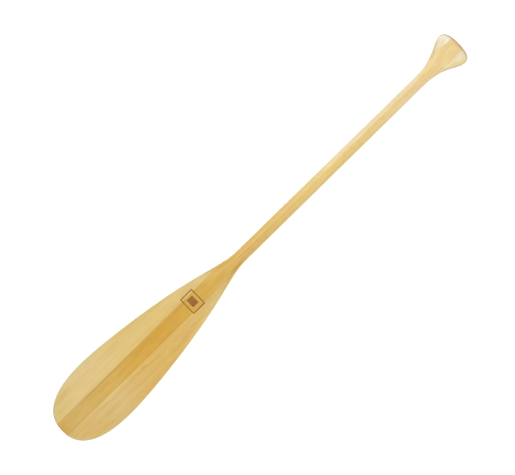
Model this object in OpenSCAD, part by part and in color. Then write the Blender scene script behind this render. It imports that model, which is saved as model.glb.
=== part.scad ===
// Single-blade laminated wooden canoe paddle: beavertail blade, oval shaft and a
// flared palm grip. It lies flat with its shaft and grip on z = 0. X runs along the
// paddle from the blade tip (-X) to the grip (+X), Y is across, Z is the thickness.
// One board runs the whole length. The blade wings and the grip ears are glued
// against its two straight edges, so every glue face is a flat plane.

/* [Overall] */
// Length from the blade tip to the end of the grip
overall_l = 1372; // [1200:1:1600]

/* [Blade] */
// Greatest width of the blade
blade_w = 175.6; // [150:0.1:200]
// Distance from the tip to the widest place
blade_widest = 153; // [130:1:180]
// Roundness of the tip: 2 is an ellipse, more is squarer
tip_power = 2.46; // [2:0.01:3]
// Distance from the tip to the shoulder, where the outline stops curving in
shoulder_at = 488; // [440:1:520]
// Width of the blade at the shoulder
shoulder_w = 85.8; // [80:0.1:100]
// How fast each edge closes in at the shoulder, across per along
shoulder_slope = 0.24; // [0.2:0.001:0.3]
// Distance from the tip to where the shaft begins
blade_l = 645; // [620:1:700]
// Thickness of the rounded edge
edge_t = 5; // [4:0.5:6]
// Thickness on the centre line at the tip
tip_t = 6.4; // [5:0.1:8]
// Thickness on the centre line at the middle of the blade
blade_t = 9.6; // [8:0.1:12]

/* [Shaft] */
// Width of the shaft next to the blade
throat_w = 32; // [30:0.1:35]
// Width of the shaft next to the grip
shaft_w = 31; // [28:0.1:34]
// Thickness of the shaft and of the board it is cut from
shaft_t = 28; // [25:0.5:30]

/* [Grip] */
// Greatest width of the grip
grip_w = 93.4; // [80:0.1:105]
// Distance from the end of the grip to its widest place
grip_widest = 22; // [20:1:32]
// Roundness of the grip's end: 2 is an ellipse, more is squarer
end_power = 2.55; // [2.2:0.01:3.2]
// Distance from the end of the grip to where the flare begins
flare_l = 134; // [120:1:160]
// Thickness of the grip near its side edges
ear_t = 19; // [16:0.5:24]
// Radius over which the grip's edges are rounded
grip_round = 16; // [12:0.5:18]
// Depth of the hollow for the palm on each face
scoop = 1.4; // [0:0.1:2.5]

/* [Lamination] */
// Width of the centre stave, between its two glue faces
stave_w = 38; // [36:0.5:44]
// How far the stave lies to the left (+Y) of the centre line
stave_off = 1.6; // [0:0.1:2.5]

/* [Hidden] */

AMBER = [0.84, 0.68, 0.36];
STRAW = [0.88, 0.78, 0.52];
HONEY = [0.86, 0.73, 0.45];
CREAM = [0.96, 0.92, 0.83];

BW = blade_w / 2;
GW = grip_w / 2;
SL = stave_w / 2 + stave_off;   // the left glue face
SR = stave_w / 2 - stave_off;   // the right glue face
GRIP_AT = overall_l - grip_widest;
FLARE_AT = overall_l - flare_l;
ACROSS = 11;      // facets across the stave, odd so that one lies level at the bottom
REST = shaft_t / 2;   // height of the middle plane above the floor

// ---- plain functions ----
function mix(a, b, t) = a + (b - a) * t;
function ease(x) = let(t = min(1, max(0, x))) t * t * t * (t * (6 * t - 15) + 10);
function bez(p, t) = let(s = 1 - t) s * s * s * p[0] + 3 * s * s * t * p[1] + 3 * s * t * t * p[2] + t * t * t * p[3];
function bez_d(p, t) = let(s = 1 - t) 3 * s * s * (p[1] - p[0]) + 6 * s * t * (p[2] - p[1]) + 3 * t * t * (p[3] - p[2]);
// parameter at which a falling (or rising) curve crosses the value v, by halving
function cross_at(p, v, lo = 0, hi = 1, n = 40) = n == 0 ? (lo + hi) / 2 :
    let(m = (lo + hi) / 2, up = bez(p, 1)[1] > bez(p, 0)[1])
    (bez(p, m)[1] < v) == up ? cross_at(p, v, m, hi, n - 1) : cross_at(p, v, lo, m, n - 1);
function sorted(l) = len(l) < 2 ? l : let(m = l[floor(len(l) / 2)])
    concat(sorted([for (x = l) if (x < m) x]), [for (x = l) if (x == m) x], sorted([for (x = l) if (x > m) x]));
// l with c added, and without the values closer to c than gap
function with_cut(l, c, gap) = sorted(concat([for (x = l) if (abs(x - c) > gap) x], [c]));

// ---- outline: stations [along, half width, slope, zone] ----
// zone 0 is the blade's round end, 1 is everything with long sides, 2 is the grip's end
SIDE_A = [[blade_widest, BW], [blade_widest + 60, BW],
          [shoulder_at - 108, shoulder_w / 2 + 108 * shoulder_slope], [shoulder_at, shoulder_w / 2]];
SIDE_B = [[shoulder_at, shoulder_w / 2], [shoulder_at + 110, shoulder_w / 2 - 110 * shoulder_slope],
          [blade_l - 62, throat_w / 2], [blade_l, throat_w / 2]];
FLARE = [[FLARE_AT, shaft_w / 2], [FLARE_AT + 70, shaft_w / 2],
         [GRIP_AT - 24, GW], [GRIP_AT, GW]];

function tip_half(u) = BW * pow(max(0, 1 - pow(1 - u / blade_widest, tip_power)), 1 / tip_power);
function end_half(d) = GW * pow(max(0, 1 - pow(1 - d / grip_widest, end_power)), 1 / end_power);
function tip_cut(S) = blade_widest * (1 - pow(1 - pow(S / BW, tip_power), 1 / tip_power));
function end_cut(S) = grip_widest * (1 - pow(1 - pow(S / GW, end_power), 1 / end_power));
// l with a station where the outline crosses each glue face
function cuts(l, a, b, gap) = with_cut(with_cut(l, a, gap), b, gap);
// half width w, but exact where v is one of the two crossings
function width_at(v, a, b, w) = v == a ? SL : v == b ? SR : w;

TIP_A = tip_cut(SL);
TIP_B = tip_cut(SR);
END_A = end_cut(SL);
END_B = end_cut(SR);
TIP_U = cuts(concat([0, 0.15, 0.6, 1.3, 2.6],
                    [for (a = [13:7:83]) blade_widest * (1 - pow(cos(a), 2 / tip_power))]), TIP_A, TIP_B, 0.25);
END_D = cuts([for (a = [0, 5, 10, 16, 24, 33, 43, 54, 66, 78]) grip_widest * (1 - pow(cos(a), 2 / end_power))], END_A, END_B, 0.2);

function on_curve(p, t, a = -1, b = -1) = let(q = bez(p, t), v = bez_d(p, t)) [q[0], width_at(t, a, b, q[1]), v[1] / v[0], 1];
THROAT_A = cross_at(SIDE_B, SL);
THROAT_B = cross_at(SIDE_B, SR);
FLARE_A = cross_at(FLARE, SL);
FLARE_B = cross_at(FLARE, SR);

STATIONS = concat(
    [for (u = TIP_U) [u, width_at(u, TIP_A, TIP_B, tip_half(u)), 0, 0]],
    [for (i = [0:13]) on_curve(SIDE_A, i / 14)],
    [for (t = cuts([for (i = [0:12]) i / 12], THROAT_A, THROAT_B, 0.02)) on_curve(SIDE_B, t, THROAT_A, THROAT_B)],
    [for (t = cuts([for (i = [0:11]) i / 12], FLARE_A, FLARE_B, 0.02)) on_curve(FLARE, t, FLARE_A, FLARE_B)],
    [[GRIP_AT, GW, 0, 1]],
    [for (i = [len(END_D) - 1:-1:0]) [overall_l - END_D[i], width_at(END_D[i], END_A, END_B, end_half(END_D[i])), 0, 2]]);

// ---- thickness ----
// half thickness on the centre line
function spine(u) = let(g = overall_l - u, b = (g - 84) / 50)
    mix(mix(tip_t, blade_t, ease(u / 260)), shaft_t, ease((u - 395) / 215)) / 2 - scoop * pow(max(0, 1 - b * b), 2);
// half thickness just inside the rounded edge
function brim(u) = let(g = overall_l - u)
    u < overall_l / 2 ? mix(edge_t, shaft_t, ease((u - 520) / 120)) / 2 : mix(ear_t, shaft_t, ease((g - 36) / (flare_l - 36))) / 2;
// width of the rounded edge
function roundover(u, w) = u < overall_l / 2 ? mix(edge_t / 2, w, ease((u - 500) / 140)) : min(w, grip_round);

// distance from the outline of a superellipse end, near its rim
function rim_dist(x, y, U, W, n) = let(X = max(0, x), S = pow(pow(X, n) + pow(y / W, n), 1 / n))
    S < 0.05 ? U : (1 - S) / (pow(S, 1 - n) * norm([pow(X, n - 1) / U, pow(y / W, n - 1) / W]));
function rim(s, y) =
    s[3] == 0 ? rim_dist(1 - s[0] / blade_widest, y, blade_widest, BW, tip_power) :
    s[3] == 2 ? rim_dist((s[0] - GRIP_AT) / grip_widest, y, grip_widest, GW, end_power) :
    (s[1] - y) / norm([1, s[2]]);
function half_t(s, yy) = let(y = abs(yy), w = s[3] == 0 ? BW : s[3] == 2 ? GW : s[1],
                             r = roundover(s[0], s[1] > 0 ? max(s[1], 0.01) : 0.01),
                             d = max(0, min(r, rim(s, y))), b = brim(s[0]),
                             crown = b + (spine(s[0]) - b) * pow(max(0, 1 - pow(y / w, 2)), 1.3))
    crown * sqrt(max(0, 1 - pow(1 - d / r, 2)));

// ---- solids ----
// A ring is [kind, across positions]. Kind is [a point?, closed at the first side?, closed at the last side?].
function ring_pts(s, k, ys) = let(n = len(ys) - 1)
    concat([for (j = [0:n]) [s[0], ys[j], k[0] || (j == 0 && k[1]) || (j == n && k[2]) ? 0 : half_t(s, ys[j])]],
           [for (j = [0:n]) [s[0], ys[j], k[0] || (j == 0 && k[1]) || (j == n && k[2]) ? 0 : -half_t(s, ys[j])]]);
function vid(i, j, low, n, k) = i * 2 * (n + 1) + (k[i][0] ? 0 : !low || (j == 0 && k[i][1]) || (j == n && k[i][2]) ? j : n + 1 + j);
function tri(a, b, c) = a == b || b == c || a == c ? [] : [[a, b, c]];
function quad(a, b, c, d) = concat(tri(a, b, c), tri(a, c, d));

// skin over cross-sections: stations ss, kinds k, and one row of across positions for each
module skin(ss, k, ys) {
    n = len(ys[0]) - 1;
    pts = [for (i = [0:len(ss) - 1]) each ring_pts(ss[i], k[i], ys[i])];
    faces = [for (i = [0:len(ss) - 2]) each concat(
        [for (j = [0:n - 1]) each quad(vid(i, j, false, n, k), vid(i, j + 1, false, n, k), vid(i + 1, j + 1, false, n, k), vid(i + 1, j, false, n, k))],
        [for (j = [0:n - 1]) each quad(vid(i, j, true, n, k), vid(i + 1, j, true, n, k), vid(i + 1, j + 1, true, n, k), vid(i, j + 1, true, n, k))],
        quad(vid(i, n, false, n, k), vid(i, n, true, n, k), vid(i + 1, n, true, n, k), vid(i + 1, n, false, n, k)),
        quad(vid(i, 0, false, n, k), vid(i + 1, 0, false, n, k), vid(i + 1, 0, true, n, k), vid(i, 0, true, n, k)))];
    translate([-overall_l / 2, 0, REST]) polyhedron(points = pts, faces = faces, convexity = 4);
}

// The full-length board: blade spine, shaft and the middle of the grip.
module centre_stave() {
    last = len(STATIONS) - 1;
    k = [for (i = [0:last]) let(s = STATIONS[i]) [i == 0 || i == last, s[1] <= SR, s[1] <= SL]];
    ys = [for (s = STATIONS) [for (j = [0:ACROSS]) min(2 * j < ACROSS ? SR : SL, s[1]) * sin(-90 + 180 * j / ACROSS)]];
    color(AMBER) skin(STATIONS, k, ys);
}

// Across positions of a side piece at one station: even steps, then closer ones round the edge.
function side_ys(s, S) = let(w = s[1], rr = min(roundover(s[0], w) * norm([1, s[2]]) * (s[3] == 1 ? 1 : 3), 0.6 * (w - S)))
    [for (j = [0:8]) j <= 4 ? S + (w - rr - S) * j / 4 : w - rr * (1 - cos(90 * (8 - j) / 4))];

// the wood outside one glue face, which is S from the centre line
module side_piece(from, to, S) {
    ss = [for (s = STATIONS) if (s[1] >= S && s[0] >= from - 0.001 && s[0] <= to + 0.001) s];
    last = len(ss) - 1;
    k = [for (i = [0:last]) [i == 0 || i == last, false, true]];
    skin(ss, k, [for (s = ss) side_ys(s, S)]);
}

module blade_wing_left() color(STRAW) side_piece(0, blade_l, SL);
module blade_wing_right() color(HONEY) mirror([0, 1, 0]) side_piece(0, blade_l, SR);
module grip_ear_left() color(CREAM) side_piece(FLARE_AT, overall_l, SL);
module grip_ear_right() color(CREAM) mirror([0, 1, 0]) side_piece(FLARE_AT, overall_l, SR);

centre_stave();
blade_wing_left();
blade_wing_right();
grip_ear_left();
grip_ear_right();
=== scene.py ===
"""A single-blade laminated wooden canoe paddle, lying on a pale floor and seen from straight above."""
import math
import bpy
import bmesh
import numpy as np
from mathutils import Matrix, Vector


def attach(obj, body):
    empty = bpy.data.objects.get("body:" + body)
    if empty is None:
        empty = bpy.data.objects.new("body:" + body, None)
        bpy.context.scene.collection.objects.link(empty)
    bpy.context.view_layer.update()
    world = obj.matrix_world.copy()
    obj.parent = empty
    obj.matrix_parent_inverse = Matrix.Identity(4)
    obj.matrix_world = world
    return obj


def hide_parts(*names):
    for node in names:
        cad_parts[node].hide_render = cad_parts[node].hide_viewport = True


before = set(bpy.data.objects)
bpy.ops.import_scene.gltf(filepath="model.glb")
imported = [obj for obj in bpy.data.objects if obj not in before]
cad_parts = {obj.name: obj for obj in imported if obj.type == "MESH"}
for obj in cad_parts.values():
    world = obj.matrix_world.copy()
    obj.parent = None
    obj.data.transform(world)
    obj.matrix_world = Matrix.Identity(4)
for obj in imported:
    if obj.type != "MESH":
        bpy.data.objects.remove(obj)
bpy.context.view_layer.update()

# ------------------------------------------------------------------ sizes, in mm, as in the CAD model
L = 1372.0
BLADE_W, WIDEST, TIP_P = 175.6, 153.0, 2.46
SHOULDER, SHOULDER_W, SLOPE, BLADE_L = 488.0, 85.8, 0.24, 645.0
EDGE_T, TIP_T, BLADE_T = 5.0, 6.4, 9.6
THROAT_W, SHAFT_W, SHAFT_T = 32.0, 31.0, 28.0
GRIP_W, GRIP_WIDE, END_P, FLARE, EAR_T, GRIP_R, SCOOP = 93.4, 22.0, 2.55, 134.0, 19.0, 16.0, 1.4
STAVE_W, STAVE_OFF = 38.0, 1.6
BW, GW = BLADE_W / 2, GRIP_W / 2
SL, SR = STAVE_W / 2 + STAVE_OFF, STAVE_W / 2 - STAVE_OFF  # the left and the right glue face
GRIP_AT, FLARE_AT = L - GRIP_WIDE, L - FLARE
MID = SHAFT_T / 2
THIN = 0.9985  # keeps the smooth surfaces just inside the faceted CAD box


def mix(a, b, t):
    return a + (b - a) * t


def ease(x):
    t = min(1.0, max(0.0, x))
    return t * t * t * (t * (6 * t - 15) + 10)


def bez(p, t):
    s = 1 - t
    return [s**3 * p[0][k] + 3 * s * s * t * p[1][k] + 3 * s * t * t * p[2][k] + t**3 * p[3][k] for k in (0, 1)]


def bez_d(p, t):
    s = 1 - t
    return [3 * s * s * (p[1][k] - p[0][k]) + 6 * s * t * (p[2][k] - p[1][k]) + 3 * t * t * (p[3][k] - p[2][k]) for k in (0, 1)]


SIDE_A = [(WIDEST, BW), (WIDEST + 60, BW), (SHOULDER - 108, SHOULDER_W / 2 + 108 * SLOPE), (SHOULDER, SHOULDER_W / 2)]
SIDE_B = [(SHOULDER, SHOULDER_W / 2), (SHOULDER + 110, SHOULDER_W / 2 - 110 * SLOPE), (BLADE_L - 62, THROAT_W / 2), (BLADE_L, THROAT_W / 2)]
FLARE_C = [(FLARE_AT, SHAFT_W / 2), (FLARE_AT + 70, SHAFT_W / 2), (GRIP_AT - 24, GW), (GRIP_AT, GW)]


def cross_at(p, v):
    lo, hi, up = 0.0, 1.0, p[3][1] > p[0][1]
    for _ in range(50):
        m = (lo + hi) / 2
        if (bez(p, m)[1] < v) == up:
            lo = m
        else:
            hi = m
    return (lo + hi) / 2


def tip_half(u):
    return BW * max(0.0, 1 - (1 - u / WIDEST) ** TIP_P) ** (1 / TIP_P)


def end_half(d):
    return GW * max(0.0, 1 - (1 - d / GRIP_WIDE) ** END_P) ** (1 / END_P)


TIP_CUTS = {WIDEST * (1 - (1 - (S / BW) ** TIP_P) ** (1 / TIP_P)): S for S in (SL, SR)}
END_CUTS = {GRIP_WIDE * (1 - (1 - (S / GW) ** END_P) ** (1 / END_P)): S for S in (SL, SR)}


def with_cuts(values, cuts, gap):
    return sorted([v for v in values if all(abs(v - c) > gap for c in cuts)] + list(cuts))


def along(p, steps, skip_first=False):
    """Stations on one side curve, with one exactly where it crosses each of the stave's edges."""
    ts = [i / steps for i in range(1 if skip_first else 0, steps + 1)]
    cuts = {cross_at(p, S): S for S in (SL, SR) if (p[0][1] - S) * (p[3][1] - S) < 0}
    ts = with_cuts(ts, cuts, 0.3 / steps)
    out = []
    for t in ts:
        q, v = bez(p, t), bez_d(p, t)
        out.append((q[0], cuts.get(t, q[1]), v[1] / v[0], 1))
    return out


def build_stations():
    n = 76
    tip = with_cuts([WIDEST * (1 - math.cos(math.radians(90 * i / n)) ** (2 / TIP_P)) for i in range(n)], TIP_CUTS, 0.12)
    s = [(u, TIP_CUTS.get(u, tip_half(u)), 0.0, 0) for u in tip]
    s += along(SIDE_A, 64)
    s += along(SIDE_B, 40, True)
    n = 40
    s += [(mix(BLADE_L, FLARE_AT, i / n), mix(THROAT_W, SHAFT_W, i / n) / 2, 0.0, 1) for i in range(1, n)]
    s += along(FLARE_C, 40)
    n = 40
    end = with_cuts([GRIP_WIDE * (1 - math.cos(math.radians(90 * i / n)) ** (2 / END_P)) for i in range(n)], END_CUTS, 0.06)
    s += [(L - d, END_CUTS.get(d, end_half(d)), 0.0, 2) for d in reversed(end)]
    return s


def spine(u):
    b = (L - u - 84) / 50
    return mix(mix(TIP_T, BLADE_T, ease(u / 260)), SHAFT_T, ease((u - 395) / 215)) / 2 - SCOOP * max(0.0, 1 - b * b) ** 2


def brim(u):
    if u < L / 2:
        return mix(EDGE_T, SHAFT_T, ease((u - 520) / 120)) / 2
    return mix(EAR_T, SHAFT_T, ease((L - u - 36) / (FLARE - 36))) / 2


def roundover(u, w):
    return mix(EDGE_T / 2, w, ease((u - 500) / 140)) if u < L / 2 else min(w, GRIP_R)


def rim_dist(x, y, U, W, n):
    x = max(0.0, x)
    S = (x**n + (y / W) ** n) ** (1 / n)
    if S < 0.05:
        return U
    g = S ** (1 - n) * math.hypot(x ** (n - 1) / U, (y / W) ** (n - 1) / W)
    return (1 - S) / g


def rim(s, y):
    if s[3] == 0:
        return rim_dist(1 - s[0] / WIDEST, y, WIDEST, BW, TIP_P)
    if s[3] == 2:
        return rim_dist((s[0] - GRIP_AT) / GRIP_WIDE, y, GRIP_WIDE, GW, END_P)
    return (s[1] - y) / math.hypot(1, s[2])


def half_t(s, yy):
    """Half thickness at one place, and its distance from the outline."""
    y, w = abs(yy), BW if s[3] == 0 else GW if s[3] == 2 else s[1]
    r = roundover(s[0], max(s[1], 0.01))
    far = max(0.0, rim(s, y))
    d = min(r, far)
    b = brim(s[0])
    crown = b + (spine(s[0]) - b) * max(0.0, 1 - (y / w) ** 2) ** 1.3
    return crown * math.sqrt(max(0.0, 1 - (1 - d / r) ** 2)), far


STATIONS = build_stations()


def loft(name, ss, kinds, rows, groove, mirror=False, halves=1, from_glue=False):
    """A closed mesh over cross-sections. A kind is (a point?, closed at the first side?, closed at the last side?). Places listed in groove are lowered by that much. Its flat pattern is in rows: the upper face in `halves` lengths, then the lower face the same way."""
    bm = bmesh.new()
    rim_layer = bm.verts.layers.float.new("rim_mm")
    uv = bm.loops.layers.uv.new("OFBake")
    n = len(rows[0]) - 1
    top, low, arcs = [], [], []
    for s, k, ys in zip(ss, kinds, rows):
        a, b = [None] * (n + 1), [None] * (n + 1)
        shared, path = None, []
        for j, y in enumerate(ys):
            h, far = half_t(s, y)
            closed = k[0] or (j == 0 and k[1]) or (j == n and k[2])
            if closed:
                h = 0.0
            h = max(0.0, h - groove(s, j, n))
            path.append((y, h))
            x, yy = (s[0] - L / 2) / 1000, (-y if mirror else y) / 1000
            if k[0]:
                if shared is None:
                    shared = bm.verts.new((x, yy, MID / 1000))
                    shared[rim_layer] = 0.0
                a[j] = b[j] = shared
                continue
            a[j] = bm.verts.new((x, yy, (MID + h * THIN) / 1000))
            a[j][rim_layer] = far
            if closed:
                b[j] = a[j]
            else:
                b[j] = bm.verts.new((x, yy, (MID - h * THIN) / 1000))
                b[j][rim_layer] = far
        top.append(a)
        low.append(b)
        run = [0.0]
        for p, q in zip(path, path[1:]):
            run.append(run[-1] + math.hypot(q[0] - p[0], q[1] - p[1]))
        mid = 0.0 if from_glue else run[n // 2]
        arcs.append([r - mid for r in run])
    lo, hi = min(map(min, arcs)), max(map(max, arcs))
    begin, length = ss[0][0], ss[-1][0] - ss[0][0]
    strip, gap = 0.03, 0.006
    high = (1 - strip) / (2 * halves)

    def place(i, j, part, side):
        """Where a point of the upper (0) or lower (1) face goes in the flat pattern."""
        row = side * halves + part
        u = gap + (1 - 2 * gap) * ((ss[i][0] - begin) * halves / length - part)
        v = strip + row * high + gap + (high - 2 * gap) * (arcs[i][j] - lo) / (hi - lo)
        return (min(1.0, max(0.0, u)), v)

    def glue_place(i, j, side):
        h = path_h[i][0 if j == 0 else 1]
        row = 0 if j == 0 else 1
        return ((ss[i][0] - begin) / length, strip * (0.08 + 0.5 * row + 0.34 * (0.5 + 0.5 * (h if side == 0 else -h))))

    tall = max(1e-6, max(v.co.z for v in bm.verts) - MID / 1000)
    path_h = [((top[i][0].co.z - MID / 1000) / tall, (top[i][n].co.z - MID / 1000) / tall) for i in range(len(ss))]

    def face(corners, where):
        vs, at = [], []
        for v, w in zip(corners, where):
            if v not in vs:
                vs.append(v)
                at.append(w)
        if len(vs) < 3:
            return
        if mirror:
            vs, at = vs[::-1], at[::-1]
        f = bm.faces.new(vs)
        for loop in f.loops:
            loop[uv].uv = at[vs.index(loop.vert)]

    for i in range(len(ss) - 1):
        part = min(halves - 1, int(((ss[i][0] + ss[i + 1][0]) / 2 - begin) * halves / length))
        for j in range(n):
            q = ((i, j), (i + 1, j), (i + 1, j + 1), (i, j + 1))
            face([top[x][y] for x, y in q], [place(x, y, part, 0) for x, y in q])
            q = ((i, j), (i, j + 1), (i + 1, j + 1), (i + 1, j))
            face([low[x][y] for x, y in q], [place(x, y, part, 1) for x, y in q])
        face([top[i][n], top[i + 1][n], low[i + 1][n], low[i][n]], [glue_place(i, n, 0), glue_place(i + 1, n, 0), glue_place(i + 1, n, 1), glue_place(i, n, 1)])
        face([top[i][0], low[i][0], low[i + 1][0], top[i + 1][0]], [glue_place(i, 0, 0), glue_place(i, 0, 1), glue_place(i + 1, 0, 1), glue_place(i + 1, 0, 0)])
    bm.normal_update()
    for f in bm.faces:
        f.smooth = True
    for e in bm.edges:
        # the arris along each glue face stays crisp
        for glue in (SL / 1000, -SR / 1000):
            if len(e.link_faces) == 2 and all(abs(v.co.y - glue) < 1e-6 for v in e.verts):
                if any(all(abs(v.co.y - glue) < 1e-6 for v in f.verts) for f in e.link_faces):
                    e.smooth = False
    mesh = bpy.data.meshes.new(name)
    bm.to_mesh(mesh)
    bm.free()
    ob = bpy.data.objects.new(name, mesh)
    bpy.context.scene.collection.objects.link(ob)
    return ob


ACROSS = 34


def stave_row(s):
    return [min(SR if 2 * j < ACROSS else SL, s[1]) * math.sin(math.radians(-90 + 180 * j / ACROSS)) for j in range(ACROSS + 1)]


def side_row(s, S):
    w = s[1]
    lean = math.hypot(1, s[2]) if s[3] == 1 else 3.0
    rr = min(roundover(s[0], w) * lean, 0.6 * (w - S))
    inner = [S + (w - rr - S) * (j / 16) ** 1.15 for j in range(17)]
    inner[1] = min(inner[1], S + 0.35)
    return inner + [w - rr * (1 - math.cos(math.radians(90 * (9 - j) / 9))) for j in range(1, 10)]


def stave_groove(s, j, n):
    return 0.07 if (j == 0 and s[1] > SR + 0.5) or (j == n and s[1] > SL + 0.5) else 0.0


last = len(STATIONS) - 1
stave = loft(
    "centre_stave_board",
    STATIONS,
    [(i in (0, last), s[1] <= SR, s[1] <= SL) for i, s in enumerate(STATIONS)],
    [stave_row(s) for s in STATIONS],
    stave_groove,
    halves=3,
)


def side_piece(name, lo, hi, mirror):
    S = SR if mirror else SL
    ss = [s for s in STATIONS if s[1] >= S and lo - 0.001 <= s[0] <= hi + 0.001]
    k = [(i in (0, len(ss) - 1), False, True) for i in range(len(ss))]

    def groove(s, j, n):
        return 0.07 if j == 0 and s[1] > S + 0.5 else 0.0

    return loft(name, ss, k, [side_row(s, S) for s in ss], groove, mirror, 2 if lo == 0 else 1, True)


wing_l = side_piece("blade_wing_left_board", 0, BLADE_L, False)
wing_r = side_piece("blade_wing_right_board", 0, BLADE_L, True)
ear_l = side_piece("grip_ear_left_block", FLARE_AT, L, False)
ear_r = side_piece("grip_ear_right_block", FLARE_AT, L, True)

# ------------------------------------------------------------------ materials
class Tree:
    """A short way to write shader nodes."""

    def __init__(self, name):
        self.mat = bpy.data.materials.new(name)
        self.mat.use_nodes = True
        self.nt = self.mat.node_tree
        self.nt.nodes.clear()

    def node(self, kind, **values):
        n = self.nt.nodes.new(kind)
        for k, v in values.items():
            setattr(n, k, v)
        return n

    def put(self, socket, value):
        if isinstance(value, bpy.types.NodeSocket):
            self.nt.links.new(value, socket)
        elif value is not None:
            socket.default_value = value

    def m(self, op, a, b=None, c=None, clamp=False):
        n = self.node("ShaderNodeMath", operation=op, use_clamp=clamp)
        for i, v in enumerate((a, b, c)):
            if v is not None:
                self.put(n.inputs[i], v)
        return n.outputs[0]

    def ramp01(self, value, lo, hi, smooth=True):
        """0 below lo, 1 above hi; lo may be above hi."""
        n = self.node("ShaderNodeMapRange", interpolation_type="SMOOTHSTEP" if smooth else "LINEAR")
        self.put(n.inputs["Value"], value)
        if lo <= hi:
            n.inputs["From Min"].default_value, n.inputs["From Max"].default_value = lo, hi
        else:
            n.inputs["From Min"].default_value, n.inputs["From Max"].default_value = hi, lo
            n.inputs["To Min"].default_value, n.inputs["To Max"].default_value = 1.0, 0.0
        return n.outputs[0]

    def xyz(self, x, y, z):
        n = self.node("ShaderNodeCombineXYZ")
        for i, v in enumerate((x, y, z)):
            self.put(n.inputs[i], v)
        return n.outputs[0]

    def noise(self, vector, scale=1.0, detail=2.0, rough=0.5, distort=0.0):
        n = self.node("ShaderNodeTexNoise")
        self.put(n.inputs["Vector"], vector)
        n.inputs["Scale"].default_value = scale
        n.inputs["Detail"].default_value = detail
        n.inputs["Roughness"].default_value = rough
        n.inputs["Distortion"].default_value = distort
        return n.outputs["Fac"]

    def ramp(self, value, stops, interpolation="LINEAR"):
        n = self.node("ShaderNodeValToRGB")
        n.color_ramp.interpolation = interpolation
        e = n.color_ramp.elements
        while len(e) < len(stops):
            e.new(0.5)
        for el, (p, c) in zip(e, stops):
            el.position = p
            el.color = (*c, 1.0)
        self.put(n.inputs[0], value)
        return n.outputs[0]

    def blend(self, fac, a, b, mode="MIX"):
        n = self.node("ShaderNodeMix", data_type="RGBA", blend_type=mode)
        n.clamp_factor = True
        self.put(n.inputs[0], fac)
        for s, v in ((n.inputs[6], a), (n.inputs[7], b)):
            if isinstance(v, tuple):
                v = (*v, 1.0) if len(v) == 3 else v
            self.put(s, v)
        return n.outputs[2]


def srgb(r, g, b):
    """Linear colour of an 8-bit screen colour."""
    return tuple((c / 12.92 if c <= 0.04045 else ((c + 0.055) / 1.055) ** 2.4) for c in (r / 255, g / 255, b / 255))


def bump_mark(t, U, V, z):
    """How strongly the burned mark shows at a place: a plain block in a frame, on the upper face only."""
    wob = t.noise(t.xyz(t.m("MULTIPLY", U, 0.30), t.m("MULTIPLY", V, 0.30), 3.0), 1.0, 2.0, 0.6)
    wob = t.m("MULTIPLY", t.m("SUBTRACT", wob, 0.5), 1.0)
    u = t.m("ADD", t.m("SUBTRACT", U, MARK[0]), wob)
    v = t.m("SUBTRACT", t.m("SUBTRACT", V, MARK[1]), wob)
    d = t.m("MAXIMUM", t.m("DIVIDE", t.m("ABSOLUTE", u), 20.0), t.m("DIVIDE", t.m("ABSOLUTE", v), 25.0))
    total = t.ramp01(t.m("ABSOLUTE", t.m("SUBTRACT", d, 0.93)), 0.080, 0.050)
    total = t.m("MAXIMUM", total, t.ramp01(d, 0.50, 0.44))
    patchiness = t.noise(t.xyz(t.m("MULTIPLY", U, 0.25), t.m("MULTIPLY", V, 1.3), 1.0), 1.0, 2.0, 0.6)
    total = t.m("MULTIPLY", total, t.ramp01(patchiness, 0.10, 0.42))
    return t.m("MULTIPLY", total, t.ramp01(z, 0.0135, 0.0145))


MARK = (455.0, 3.5)  # mm from the tip, mm to the left of the middle


def patch(t, U, V, cx, cy, rx, ry, lean=0.0):
    """A soft-edged oval round a place, in mm, leaning by `lean` mm across for each mm along."""
    du = t.m("SUBTRACT", U, cx)
    dv = t.m("SUBTRACT", t.m("SUBTRACT", V, cy), t.m("MULTIPLY", du, lean)) if lean else t.m("SUBTRACT", V, cy)
    du, dv = t.m("DIVIDE", du, rx), t.m("DIVIDE", dv, ry)
    r = t.m("ADD", t.m("MULTIPLY", du, du), t.m("MULTIPLY", dv, dv))
    return t.ramp01(r, 1.0, 0.15)


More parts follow.
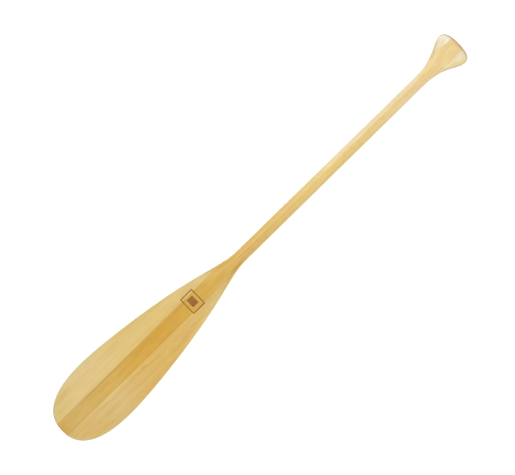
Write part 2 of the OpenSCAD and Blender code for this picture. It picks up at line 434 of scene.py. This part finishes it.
def wood(name, seed, pith, pitch, run, stops, figure, ring, fibre, features=(), mark=False, shaft_sheen_and_shade=False, rim_shade_tint=(0.83, 0.82, 0.79), edge_reach=5.2, tone=0.0):
    """Straight-grained varnished softwood in its board's own place.

    stops: (mm from the tip, colour) along the board. features: soft patches (centre, radii, lean, tint).
    pith: where the rings' centre lies across the board, in m. figure, ring, fibre: contrasts.
    """
    t = Tree(name)
    tc = t.node("ShaderNodeTexCoord").outputs["Object"]
    sep = t.node("ShaderNodeSeparateXYZ")
    t.put(sep.inputs[0], tc)
    x, y, z = sep.outputs
    # the grain wanders a little from the board's axis
    w1 = t.noise(t.xyz(t.m("MULTIPLY_ADD", x, 1.3, seed), t.m("MULTIPLY", y, 7.0), t.m("MULTIPLY", z, 7.0)), 1.0, 1.0, 0.4)
    w2 = t.noise(t.xyz(t.m("MULTIPLY_ADD", x, 7.0, seed + 9.0), t.m("MULTIPLY", y, 30.0), t.m("MULTIPLY", z, 30.0)), 1.0, 1.0, 0.4)
    wander = t.m("ADD", t.m("MULTIPLY", t.m("SUBTRACT", w1, 0.5), 0.020), t.m("MULTIPLY", t.m("SUBTRACT", w2, 0.5), 0.0040))
    gy = t.m("ADD", t.m("ADD", y, wander), t.m("MULTIPLY", x, run))
    gz = t.m("ADD", z, t.m("MULTIPLY", wander, 0.7))
    U = t.m("MULTIPLY_ADD", x, 1000.0, L / 2)
    V = t.m("MULTIPLY", y, 1000.0)
    # growth rings round the pith
    dy, dz = t.m("SUBTRACT", gy, pith[0]), t.m("SUBTRACT", gz, pith[1])
    rho = t.m("SQRT", t.m("ADD", t.m("MULTIPLY", dy, dy), t.m("MULTIPLY", dz, dz)))
    drift = t.noise(t.xyz(t.m("MULTIPLY_ADD", x, 0.8, seed), t.m("MULTIPLY", rho, 60.0), seed), 1.0, 1.0)
    years = t.m("ADD", t.m("DIVIDE", rho, pitch), t.m("MULTIPLY", drift, 2.2))
    frac = t.m("FRACT", years)
    late = t.m("MULTIPLY", t.ramp01(frac, 0.25, 0.86), t.ramp01(frac, 1.0, 0.90))
    grow = t.noise(t.xyz(seed, t.m("MULTIPLY", t.m("FLOOR", years), 1.7), t.m("MULTIPLY", x, 1.4)), 1.0, 0.0)
    late = t.m("MULTIPLY", late, t.m("MULTIPLY_ADD", grow, 1.5, 0.1))
    # bands, streaks and fibres, each finer than the last
    broad = t.noise(t.xyz(t.m("MULTIPLY_ADD", x, 2.0, seed), t.m("MULTIPLY", gy, 42.0), t.m("MULTIPLY", gz, 42.0)), 1.0, 2.0, 0.55)
    streak = t.noise(t.xyz(t.m("MULTIPLY_ADD", x, 8.0, seed), t.m("MULTIPLY", gy, 130.0), t.m("MULTIPLY", gz, 130.0)), 1.0, 3.0, 0.62)
    thin = t.noise(t.xyz(t.m("MULTIPLY_ADD", x, 7.0, seed + 3.0), t.m("MULTIPLY", gy, 480.0), t.m("MULTIPLY", gz, 480.0)), 1.0, 2.0, 0.6)
    hair = t.noise(t.xyz(t.m("MULTIPLY_ADD", x, 26.0, seed), t.m("MULTIPLY", gy, 1500.0), t.m("MULTIPLY", gz, 1500.0)), 1.0, 2.0, 0.6)
    cloud = t.noise(t.xyz(t.m("MULTIPLY_ADD", x, 46.0, seed + 5.0), t.m("MULTIPLY", gy, 80.0), t.m("MULTIPLY", gz, 80.0)), 1.0, 2.0, 0.55)
    fleck = t.noise(t.xyz(t.m("MULTIPLY_ADD", x, 120.0, seed), t.m("MULTIPLY", gy, 2100.0), t.m("MULTIPLY", gz, 2100.0)), 1.0, 1.0, 0.5)
    fleck = t.ramp01(fleck, 0.62, 0.74)

    # the board's colour along its length, then its patches, then the grain over it; on the stave and the ears the
    # colour along the length also holds painted light, brighter towards the grip end
    at = t.m("DIVIDE", U, L)
    at = t.m("ADD", at, t.m("MULTIPLY", t.m("SUBTRACT", broad, 0.5), 0.07))
    colour = t.ramp(at, [(p / L, seen(*c)) for p, c in stops])
    Uw = t.m("ADD", U, t.m("MULTIPLY", t.m("SUBTRACT", streak, 0.5), 26.0))
    Vw = t.m("ADD", V, t.m("MULTIPLY", t.m("SUBTRACT", cloud, 0.5), 7.0))
    for cx, cy, rx, ry, lean, tint in features:
        colour = t.blend(patch(t, Uw, Vw, cx, cy, rx, ry, lean), colour, t.blend(1.0, colour, tint, "MULTIPLY"))
    if shaft_sheen_and_shade:
        # painted sheen: a pale highlight painted along the left flank of the shaft, and a little on the right, to where
        # the flare begins
        start = t.m("ADD", t.m("MULTIPLY", t.m("SUBTRACT", thin, 0.5), 240.0), U)
        left = t.ramp01(t.m("ADD", Vw, t.m("MULTIPLY", t.ramp01(U, 930.0, 1120.0), 2.5)), 5.2, 8.6)
        left = t.m("MULTIPLY", left, t.ramp01(start, 850.0, 960.0))
        right = t.m("MULTIPLY", t.ramp01(Vw, -4.0, -8.0), t.ramp01(start, 1060.0, 1180.0))
        taper = t.ramp01(t.m("SUBTRACT", t.m("ABSOLUTE", Vw), t.m("MULTIPLY", t.m("MAXIMUM", t.m("SUBTRACT", U, 1215.0), 0.0), 0.20)), 1.0, 5.0)
        pale = t.m("MULTIPLY", t.m("MAXIMUM", left, t.m("MULTIPLY", right, 0.45)), t.m("MULTIPLY", taper, t.ramp01(U, 1330.0, 1270.0)))
        colour = t.blend(t.m("MULTIPLY", pale, 0.85), colour, seen(240, 220, 178))
    shade = t.m("MULTIPLY", late, -ring)
    for layer, much in ((broad, 1.0 * figure), (streak, 1.5 * figure), (cloud, 0.8 * figure), (thin, 1.1 * fibre), (hair, 0.9 * fibre)):
        shade = t.m("ADD", shade, t.m("MULTIPLY", t.m("SUBTRACT", layer, 0.5), much))
    shade = t.m("SUBTRACT", shade, t.m("MULTIPLY", fleck, 0.7 * fibre))
    shade = t.m("ADD", shade, tone)
    # darker grain is also warmer: blue falls most
    gain = t.node("ShaderNodeCombineColor")
    t.put(gain.inputs[0], t.m("MULTIPLY_ADD", shade, 0.75, 1.0))
    t.put(gain.inputs[1], t.m("MULTIPLY_ADD", shade, 1.0, 1.0))
    t.put(gain.inputs[2], t.m("MULTIPLY_ADD", shade, 1.9, 1.0))
    colour = t.blend(1.0, colour, gain.outputs[0], "MULTIPLY")

    # end grain drinks the varnish; the thin rounded edge is darker and greyer, painted shade where it turns from the
    # light, unevenly patchy
    geo = t.node("ShaderNodeNewGeometry")
    nsep = t.node("ShaderNodeSeparateXYZ")
    t.put(nsep.inputs[0], geo.outputs["Normal"])
    nx = t.m("ABSOLUTE", nsep.outputs[0])
    ends = t.m("MULTIPLY", t.ramp01(nx, 0.30, 0.85), t.m("MULTIPLY_ADD", thin, 0.7, 0.55), clamp=True)
    colour = t.blend(ends, colour, t.blend(1.0, colour, (0.56, 0.47, 0.34), "MULTIPLY"))
    rimmed = t.node("ShaderNodeAttribute", attribute_name="rim_mm", attribute_type="GEOMETRY").outputs["Fac"]
    patchiness = t.m("MULTIPLY_ADD", cloud, 1.0, 0.35)
    flat = t.m("MAXIMUM", t.ramp01(U, 600.0, 540.0), t.ramp01(U, 1262.0, 1310.0))
    edge = t.m("MULTIPLY", t.m("MULTIPLY", t.ramp01(rimmed, edge_reach, 0.4), patchiness), flat, clamp=True)
    # painted shade: the side-facing part of the rim takes one tint, the part facing up the tint given per board
    facing = t.ramp01(t.m("ABSOLUTE", nsep.outputs[2]), 0.15, 0.65)
    rimtone = t.blend(facing, (0.84, 0.80, 0.72), rim_shade_tint)
    if shaft_sheen_and_shade:
        # painted shade along both rounded flanks of the shaft, darker and greyer towards its edges
        onshaft = t.m("MULTIPLY", t.ramp01(U, 560.0, 640.0), t.ramp01(U, 1310.0, 1262.0))
        rimtone = t.blend(onshaft, rimtone, (0.86, 0.94, 1.20))
        edge = t.m("MAXIMUM", edge, t.m("MULTIPLY", t.m("MULTIPLY", t.ramp01(rimmed, 5.5, 0.8), onshaft), 0.75))
    colour = t.blend(edge, colour, t.blend(1.0, colour, rimtone, "MULTIPLY"))
    # the joints show as a hair of darker glue
    seam = t.m("MINIMUM", t.m("ABSOLUTE", t.m("SUBTRACT", V, SL)), t.m("ABSOLUTE", t.m("ADD", V, SR)))
    line = t.ramp01(seam, 0.55, 0.12)
    colour = t.blend(t.m("MULTIPLY", line, 0.5), colour, t.blend(1.0, colour, (0.62, 0.48, 0.32), "MULTIPLY"))

    height = t.m("ADD", t.m("MULTIPLY", hair, 0.4), t.m("MULTIPLY", thin, 0.5))
    height = t.m("ADD", height, t.m("MULTIPLY", streak, 0.6))
    height = t.m("SUBTRACT", height, t.m("MULTIPLY", fleck, 0.5))
    height = t.m("SUBTRACT", height, t.m("MULTIPLY", late, 0.2))
    gloss = t.m("ADD", 0.44, t.m("MULTIPLY", t.m("SUBTRACT", thin, 0.5), 0.22))
    gloss = t.m("ADD", gloss, t.m("MULTIPLY", fleck, 0.12))
    gloss = t.m("ADD", gloss, t.m("MULTIPLY", t.m("MAXIMUM", ends, edge), 0.14))
    if mark:
        burn = bump_mark(t, U, V, z)
        burnt = t.ramp(thin, [(0.3, seen(128, 79, 20)), (0.7, seen(170, 115, 30))])
        colour = t.blend(t.m("MULTIPLY", burn, 0.97), colour, burnt)
        height = t.m("SUBTRACT", height, t.m("MULTIPLY", burn, 1.5))
        gloss = t.m("ADD", gloss, t.m("MULTIPLY", burn, 0.14))
    bump = t.node("ShaderNodeBump")
    bump.inputs["Strength"].default_value = 0.25
    bump.inputs["Distance"].default_value = 0.00025
    t.put(bump.inputs["Height"], height)
    p = t.node("ShaderNodeBsdfPrincipled")
    t.put(p.inputs["Base Color"], colour)
    t.put(p.inputs["Roughness"], gloss)
    t.put(p.inputs["Normal"], bump.outputs[0])
    p.inputs["IOR"].default_value = 1.45
    p.inputs["Specular IOR Level"].default_value = 0.3
    p.inputs["Coat Weight"].default_value = 0.5
    p.inputs["Coat Roughness"].default_value = 0.22
    p.inputs["Coat IOR"].default_value = 1.5
    out = t.node("ShaderNodeOutputMaterial")
    t.put(out.inputs["Surface"], p.outputs[0])
    return t.mat


GAIN, VEIL = (1.105, 1.09, 1.07), (0.030, 0.030, 0.030)


def seen(r, g, b):
    """The colour of the wood that looks like this 8-bit screen colour in the studio's light."""
    return tuple(max(0.004, (c - v) / k) for c, v, k in zip(srgb(r, g, b), VEIL, GAIN))


# colours along each board, from the tip; the stave's turn to pale towards the grip is partly its own tone, partly
# painted light brightening towards the grip end
STAVE = [
    (0, (213, 172, 92)), (60, (217, 180, 101)), (120, (217, 178, 96)), (180, (217, 176, 88)), (250, (219, 171, 70)), (330, (218, 168, 66)), (460, (218, 172, 75)), (560, (220, 178, 90)),
    (640, (224, 184, 103)), (730, (226, 190, 111)), (830, (230, 197, 122)), (950, (236, 204, 129)), (1130, (238, 207, 143)), (1230, (239, 208, 150)), (1290, (239, 211, 148)), (1372, (239, 210, 151)),
]
LEFT = [(0, (222, 193, 122)), (120, (228, 199, 134)), (250, (228, 198, 126)), (370, (228, 195, 120)), (500, (227, 196, 126)), (600, (221, 188, 110))]
RIGHT = [(0, (219, 183, 110)), (90, (222, 188, 119)), (160, (224, 191, 123)), (220, (223, 185, 107)), (260, (224, 184, 103)), (360, (224, 183, 101)), (450, (225, 189, 113)), (600, (220, 188, 116))]

m_stave = wood(
    "varnished_wood_stave", 2.0, (0.012, -0.11), 0.0036, 0.004, STAVE, 0.17, 0.06, 0.13,
    features=[
        (330, 9, 115, 11, 0, (1.0, 0.965, 0.84)),      # the most coloured length, on the left half
        (150, 17.5, 110, 3.2, 0, (0.90, 0.87, 0.72)),  # a dark line along the left joint
        (4, 0, 16, 15, 0, (1.0, 0.92, 0.66)),          # an amber patch at the very tip
        (58, -13, 60, 9, 0, (1.02, 1.03, 1.10)),       # near the tip the joint with the right wing hardly shows
        (140, 7, 26, 7, 0, (0.97, 0.95, 0.88)),
        (230, -12, 34, 7, 0, (0.97, 0.955, 0.80)),
        (205, 2, 20, 8, 0, (1.0, 0.95, 0.88)),
        # painted shade on the lower shoulder of the throat, where it turns from the light
        (592, -15, 34, 5, 0.10, (0.86, 0.80, 0.66)),   # the lower shoulder of the throat
        (535, 12, 40, 5, 0, (1.02, 1.0, 0.90)),
        (1322, 13, 10, 6, 0, (1.0, 0.93, 0.80)),
        (1354, -10, 14, 3, 0, (1.0, 0.95, 0.85)),
        (1338, -2, 12, 5, 0, (0.98, 0.96, 0.88)),
        # painted shade on the core where the flare begins, beside the end of the painted sheen
        (1262, 1, 34, 6, 0, (0.99, 0.965, 0.86)),      # where the flare begins
    ],
    mark=True, shaft_sheen_and_shade=True,
)
m_left = wood(
    "varnished_wood_left_wing", 17.0, (0.16, -0.05), 0.0042, -0.012, LEFT, 0.14, 0.05, 0.11,
    features=[
        (68, 62, 34, 7, 0.28, (0.99, 0.93, 0.78)),     # amber patches near the outline
        (285, 72, 60, 6, -0.06, (1.0, 0.94, 0.80)),
        (180, 50, 60, 22, 0, (1.0, 1.01, 1.06)),
        (45, 36, 30, 10, 0, (0.98, 0.995, 0.96)),
        (300, 34, 80, 12, 0, (0.99, 1.0, 0.97)),
        (470, 36, 60, 8, 0, (1.0, 0.98, 0.95)),
        (520, 22, 60, 4, 0, (1.0, 0.97, 0.84)),
        (120, 76, 130, 14, 0, (1.0, 1.02, 1.12)),
    ],
    mark=True, rim_shade_tint=(0.88, 1.0, 1.32), edge_reach=11.0,
)
m_right = wood(
    "varnished_wood_right_wing", 31.0, (-0.15, -0.06), 0.0044, 0.03, RIGHT, 0.16, 0.06, 0.12,
    features=[
        (205, -24, 130, 4.5, 0, (1.02, 1.035, 1.12)),  # a pale strip beside the stave
        (55, -25, 62, 8, 0, (0.985, 0.97, 0.91)),
        (262, -31, 62, 3.2, -0.10, (0.93, 0.885, 0.76)),  # a dark streak slanting away from it
        (130, -28, 50, 2.6, 0.04, (0.96, 0.93, 0.86)),
        (75, -62, 60, 7, -0.32, (1.0, 0.935, 0.78)),   # amber along the outline
        (215, -80, 90, 7, 0.03, (1.0, 0.945, 0.82)),
        (345, -68, 70, 8, 0.10, (1.0, 0.94, 0.84)),
        (150, -45, 46, 12, 0, (0.99, 1.01, 1.06)),
        (400, -45, 60, 6, 0.10, (0.97, 0.94, 0.88)),
        (455, -30, 50, 8, 0, (1.01, 1.03, 1.06)),
        (430, -52, 120, 11, 0.24, (1.05, 1.07, 1.16)), # paler towards the shoulder
    ],
    mark=True, rim_shade_tint=(0.92, 1.10, 1.50), edge_reach=8.0,
)
# both ears are pale, the left one near white towards its end: partly pale wood, partly a painted highlight
m_ear_l = wood(
    "varnished_wood_left_ear", 47.0, (0.09, -0.20), 0.0040, 0.0, [(1240, (238, 220, 178)), (1316, (238, 221, 182)), (1332, (240, 226, 192)), (1345, (250, 239, 214)), (1372, (248, 238, 216))], 0.10, 0.05, 0.09,
    features=[
        (1316, 20.5, 36, 10, 0, (0.97, 0.90, 0.72)),   # gold beside the joint
        (1322, 38, 26, 7, 0.45, (0.96, 0.97, 0.95)),   # greyer on the neck of the horn
        (1345, 26, 10, 3, 0, (1.0, 0.98, 0.92)),
    ],
    rim_shade_tint=(0.78, 0.78, 0.80), edge_reach=9.0,
)
m_ear_r = wood(
    "varnished_wood_right_ear", 53.0, (-0.09, -0.20), 0.0040, 0.0, [(1240, (242, 224, 184)), (1318, (241, 222, 172)), (1342, (240, 223, 178)), (1372, (241, 223, 187))], 0.10, 0.05, 0.09,
    features=[
        (1336, -32, 22, 6, -0.5, (0.97, 0.93, 0.76)),
        (1350, -25, 12, 5, 0, (1.01, 1.02, 1.10)),
        (1312, -20, 26, 6, 0, (1.05, 1.03, 1.02)),     # light beside the joint
        (1346, -38, 12, 8, 0, (1.03, 1.03, 1.06)),
    ],
    rim_shade_tint=(0.74, 0.70, 0.60), edge_reach=6.5,
)

for ob, mat, node, slot in (
    (stave, m_stave, "centre_stave", "stave_wood"),
    (wing_l, m_left, "blade_wing_left", "left_wing_wood"),
    (wing_r, m_right, "blade_wing_right", "right_wing_wood"),
    (ear_l, m_ear_l, "grip_ear_left", "ear_wood"),
    (ear_r, m_ear_r, "grip_ear_right", "ear_wood"),
):
    ob.data.materials.append(mat)
    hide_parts(node)
    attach(ob, "root")

# ------------------------------------------------------------------ floor, light and camera
bpy.ops.mesh.primitive_plane_add(size=60, location=(0, 0, -0.0004))
floor = bpy.context.object
floor.name = "floor"
ft = Tree("pale_floor")
fp = ft.node("ShaderNodeBsdfPrincipled")
fp.inputs["Base Color"].default_value = (0.85, 0.85, 0.85, 1)
fp.inputs["Emission Color"].default_value = (1, 1, 1, 1)
fp.inputs["Emission Strength"].default_value = 0.40
fp.inputs["Roughness"].default_value = 0.9
fp.inputs["Specular IOR Level"].default_value = 0.1
fo = ft.node("ShaderNodeOutputMaterial")
ft.put(fo.inputs["Surface"], fp.outputs[0])
floor.data.materials.append(ft.mat)

world = bpy.data.worlds.new("studio")
bpy.context.scene.world = world
world.use_nodes = True
wn = world.node_tree
wn.nodes.clear()
lp = wn.nodes.new("ShaderNodeLightPath")
shown = wn.nodes.new("ShaderNodeBackground")
shown.inputs[0].default_value = (1, 1, 1, 1)
shown.inputs[1].default_value = 1.0
lit = wn.nodes.new("ShaderNodeBackground")
wt = wn.nodes.new("ShaderNodeTexCoord")
wz = wn.nodes.new("ShaderNodeSeparateXYZ")
wr = wn.nodes.new("ShaderNodeMapRange")
wr.inputs["From Min"].default_value, wr.inputs["From Max"].default_value = 0.0, 1.0
wr.inputs["To Min"].default_value, wr.inputs["To Max"].default_value = 0.50, 1.15
wn.links.new(wt.outputs["Generated"], wz.inputs[0])
wn.links.new(wz.outputs[2], wr.inputs["Value"])
lit.inputs[0].default_value = (1, 1, 1, 1)
wn.links.new(wr.outputs[0], lit.inputs[1])
ms = wn.nodes.new("ShaderNodeMixShader")
wo = wn.nodes.new("ShaderNodeOutputWorld")
wn.links.new(lp.outputs["Is Camera Ray"], ms.inputs[0])
wn.links.new(lit.outputs[0], ms.inputs[1])
wn.links.new(shown.outputs[0], ms.inputs[2])
wn.links.new(ms.outputs[0], wo.inputs[0])


def softbox(name, at, to, size, power, colour=(1, 1, 1)):
    data = bpy.data.lights.new(name, "AREA")
    data.shape = "RECTANGLE"
    data.size, data.size_y = size
    data.energy = power
    data.color = colour
    ob = bpy.data.objects.new(name, data)
    bpy.context.scene.collection.objects.link(ob)
    ob.location = at
    ob.rotation_euler = (Vector(to) - Vector(at)).to_track_quat("-Z", "Y").to_euler()
    ob.visible_camera = False
    return ob


softbox("left_bank", (0.0, 2.2, 3.1), (0.0, 0.0, 0.0), (2.0, 1.3), 19)
softbox("right_bank", (0.0, -2.2, 3.1), (0.0, 0.0, 0.0), (2.0, 1.3), 11)
softbox("grip_bank", (0.66, 1.0, 0.42), (0.55, 0.0, 0.03), (0.72, 0.75), 0.9)

cam_data = bpy.data.cameras.new("camera")
cam_data.lens, cam_data.sensor_width = 100, 36
cam = bpy.data.objects.new("camera", cam_data)
bpy.context.scene.collection.objects.link(cam)
ANGLE = math.radians(44.4)
PX = 0.0024757
off = (-2.88 * PX, -0.40 * PX)
cx = off[0] * math.cos(ANGLE) + off[1] * math.sin(ANGLE)
cy = -off[0] * math.sin(ANGLE) + off[1] * math.cos(ANGLE)
cam.location = (cx, cy, 0.014 + 515 * PX * 100 / 36)
cam.rotation_euler = (0, 0, -ANGLE)
cam_data.clip_start, cam_data.clip_end = 0.05, 100
bpy.context.scene.camera = cam
bpy.context.scene.view_settings.view_transform = "Standard"
